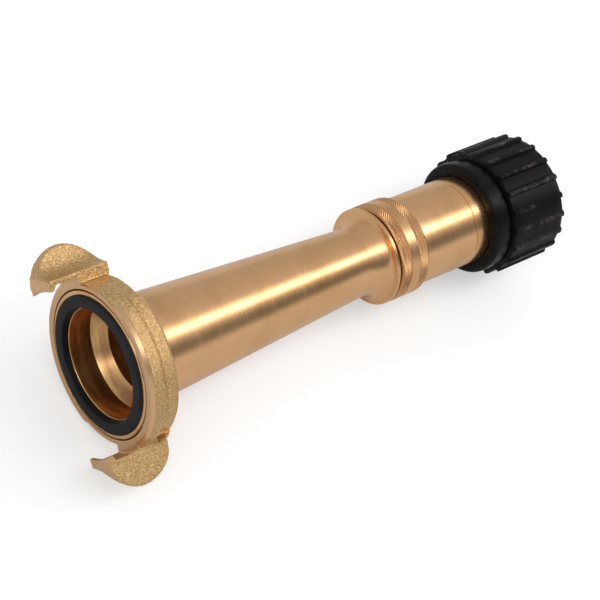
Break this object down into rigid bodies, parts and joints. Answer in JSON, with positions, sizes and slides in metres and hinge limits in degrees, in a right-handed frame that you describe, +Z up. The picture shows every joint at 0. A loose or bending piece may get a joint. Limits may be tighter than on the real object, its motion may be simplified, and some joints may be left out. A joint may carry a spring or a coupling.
{
  "type": "hose spray nozzle",
  "caption": "Brass hose spray nozzle with a swivelling claw coupling, tapered barrel, knurled gland nut and a twist head in a ribbed black rubber bumper.",
  "frame": {"origin": "centre of the coupling seal's sealing face, on the water axis", "axes": "+X along the water axis from the coupling to the jet, +Z up, with the nozzle level and one claw near the top"},
  "size_m": [0.1431, 0.0528, 0.042],
  "materials": {
    "turned_brass": "satin, lathe-turned",
    "knurled_brass": "knurled bands with a smooth waist",
    "inner_brass": "machined, dull",
    "cast_brass": "sand-cast and blasted, machined on its face",
    "seal_rubber": "moulded, matt",
    "head_rubber": "moulded, half matt",
    "spring_steel": "ground",
    "washer_plastic": "matt",
    "packing": "plaited, greased"
  },
  "bodies": {
    "barrel": {"barrel": "turned_brass", "inlet_seal": "seal_rubber", "swivel_washer": "washer_plastic", "swivel_clip": "spring_steel", "stop_ring": "spring_steel", "spider": "inner_brass", "spider_clip": "spring_steel", "spindle": "inner_brass", "spindle_washer": "spring_steel", "spindle_nut": "inner_brass", "tip_seal": "seal_rubber"},
    "coupling": {"claw_ring": "cast_brass"},
    "packing": {"packing_ring": "packing"},
    "head": {"sleeve": "turned_brass", "packing_washer": "inner_brass", "mouth_insert": "turned_brass", "mouth_o_ring": "seal_rubber", "rubber_head": "head_rubber"},
    "follower": {"gland_follower": "inner_brass"},
    "gland_nut": {"gland_nut": "knurled_brass"}
  },
  "joints": [
    {"name": "claw_swivel", "type": "hinge", "parent": "barrel", "child": "coupling", "pos_m": [0.0072, 0, 0], "axis": [1, 0, 0], "continuous": true},
    {"name": "head_travel", "type": "slide", "parent": "barrel", "child": "packing", "axis": [1, 0, 0], "range_m": [0, 0.006]},
    {"name": "head_turn", "type": "hinge", "parent": "packing", "child": "head", "pos_m": [0.1015, 0, 0], "axis": [1, 0, 0], "range_deg": [0, 540]},
    {"name": "gland_travel", "type": "slide", "parent": "head", "child": "follower", "axis": [1, 0, 0], "range_m": [-0.0005, 0]},
    {"name": "gland_turn", "type": "hinge", "parent": "follower", "child": "gland_nut", "pos_m": [0.088, 0, 0], "axis": [1, 0, 0], "range_deg": [-120, 0]}
  ],
  "couplings": [
    {"joint": "head_turn", "follows": "head_travel", "rad_per_m": 1570.8},
    {"joint": "gland_turn", "follows": "gland_travel", "rad_per_m": 4188.8}
  ]
}
